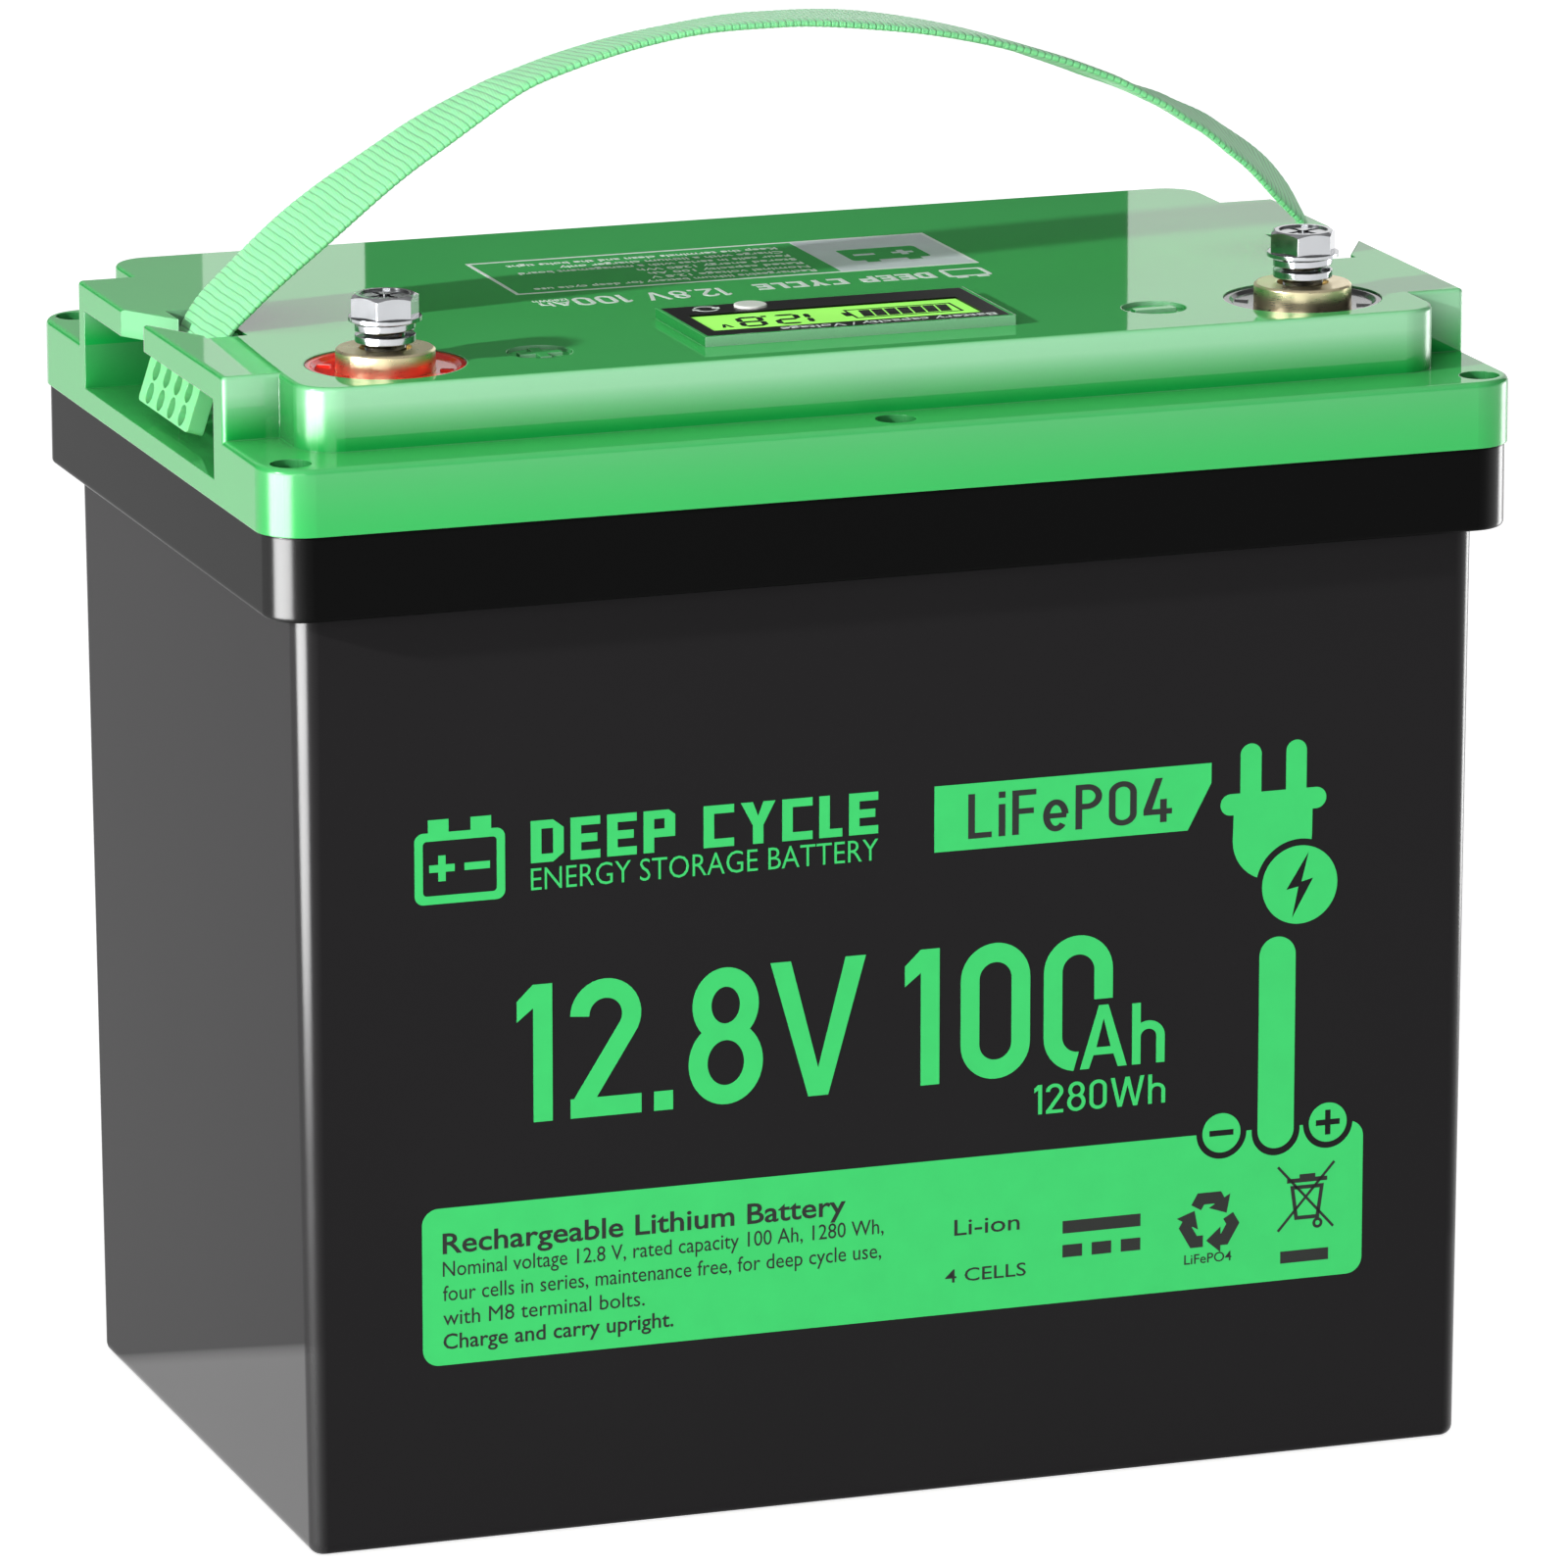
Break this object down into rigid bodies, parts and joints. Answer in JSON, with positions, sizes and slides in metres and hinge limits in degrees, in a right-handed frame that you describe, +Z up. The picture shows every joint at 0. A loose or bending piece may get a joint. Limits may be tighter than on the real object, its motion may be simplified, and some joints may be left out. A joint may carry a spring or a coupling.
{
  "type": "deep cycle battery",
  "caption": "Boxy lithium deep cycle battery with a stepped lid, two bolted terminals, a small lid display and a webbing carry strap.",
  "frame": {"origin": "centre of the flat base", "axes": "+X along the battery's length to the right, +Y to the back, +Z up; the front face and both terminals are on the -Y side"},
  "size_m": [0.26, 0.168, 0.2884],
  "materials": {
    "case_black": "satin moulded black ABS",
    "lid_green": "glossy moulded green ABS",
    "rubber_black": "soft seal rubber",
    "steel_dark": "black zinc screw steel",
    "webbing_green": "ribbed woven polyester webbing",
    "anchor_green": "light green moulded plastic",
    "label_black": "printed polycarbonate overlay",
    "lcd_glass": "backlit liquid crystal panel",
    "backlight_green": "light guide",
    "circuit_board": "green solder mask",
    "button_white": "white moulded keycap",
    "component_black": "moulded electronic component",
    "aluminium": "milled aluminium",
    "insulator": "glass epoxy sheet",
    "steel_bright": "bright steel",
    "nickel": "nickel-plated copper",
    "foam": "closed-cell EVA foam",
    "brass": "turned brass",
    "connector_white": "nylon connector",
    "wire_sense": "silicone wire",
    "cable_red": "silicone cable",
    "cable_black": "silicone cable",
    "ring_red": "glossy red plastic",
    "ring_black": "glossy black plastic",
    "bolt_chrome": "bright plated steel",
    "cell_blue": "aluminium can in blue film"
  },
  "bodies": {
    "root": {"b_minus_cable": "cable_black", "b_minus_lug": "nickel", "balance_connector": "connector_white", "balance_harness": "wire_sense", "bms_board": "circuit_board", "bms_cable_pads": "nickel", "bms_heatsink": "aluminium", "bms_mosfets": "component_black", "bms_parts": "component_black", "bms_screws": "steel_bright", "bms_standoffs": "brass", "busbars": "nickel", "case": "case_black", "cell_1": "cell_blue", "cell_2": "cell_blue", "cell_3": "cell_blue", "cell_4": "cell_blue", "cell_nuts": "steel_bright", "cell_posts": "aluminium", "cell_spacers": "insulator", "cell_top_board": "insulator", "compression_bands": "steel_bright", "display_backlight": "backlight_green", "display_board": "circuit_board", "display_cable": "cable_black", "display_label": "label_black", "display_screws": "steel_dark", "end_plates": "aluminium", "foam_base_pad": "foam", "foam_left_block": "foam", "foam_right_block": "foam", "foam_side_pads": "foam", "lcd_panel": "lcd_glass", "lid": "lid_green", "lid_gasket": "rubber_black", "lid_screws": "steel_dark", "negative_ring": "ring_black", "negative_terminal": "brass", "negative_terminal_nut": "brass", "p_minus_cable": "cable_black", "p_minus_lug": "nickel", "positive_cable": "cable_red", "positive_cable_lugs": "nickel", "positive_ring": "ring_red", "positive_terminal": "brass", "positive_terminal_nut": "brass", "tact_switch": "component_black", "temperature_probe": "component_black"},
    "strap": {"carry_strap": "webbing_green", "strap_anchor_left": "anchor_green", "strap_anchor_right": "anchor_green"},
    "button": {"display_button": "button_white", "switch_plunger": "component_black"},
    "positive_washers": {"positive_flat_washer": "bolt_chrome", "positive_lock_washer": "bolt_chrome"},
    "positive_bolt": {"positive_bolt": "bolt_chrome"},
    "negative_washers": {"negative_flat_washer": "bolt_chrome", "negative_lock_washer": "bolt_chrome"},
    "negative_bolt": {"negative_bolt": "bolt_chrome"}
  },
  "joints": [
    {"name": "strap_lift", "type": "slide", "parent": "root", "child": "strap", "axis": [0, 0, 1], "range_m": [-0.0018, 0]},
    {"name": "button_press", "type": "slide", "parent": "root", "child": "button", "axis": [0, 0, -1], "range_m": [0, 0.0004], "stiffness_N_per_m": 2000, "springref_m": -0.0002},
    {"name": "positive_bolt_travel", "type": "slide", "parent": "root", "child": "positive_washers", "axis": [0, 0, 1], "range_m": [-0.00125, 0.01]},
    {"name": "positive_bolt_turn", "type": "hinge", "parent": "positive_washers", "child": "positive_bolt", "pos_m": [-0.0961, -0.0505, 0.2422], "axis": [0, 0, 1], "range_deg": [-360, 2880]},
    {"name": "negative_bolt_travel", "type": "slide", "parent": "root", "child": "negative_washers", "axis": [0, 0, 1], "range_m": [-0.00125, 0.01]},
    {"name": "negative_bolt_turn", "type": "hinge", "parent": "negative_washers", "child": "negative_bolt", "pos_m": [0.0961, -0.0505, 0.2422], "axis": [0, 0, 1], "range_deg": [-360, 2880]}
  ],
  "couplings": [
    {"joint": "positive_bolt_turn", "follows": "positive_bolt_travel", "rad_per_m": 5026.5},
    {"joint": "negative_bolt_turn", "follows": "negative_bolt_travel", "rad_per_m": 5026.5}
  ]
}
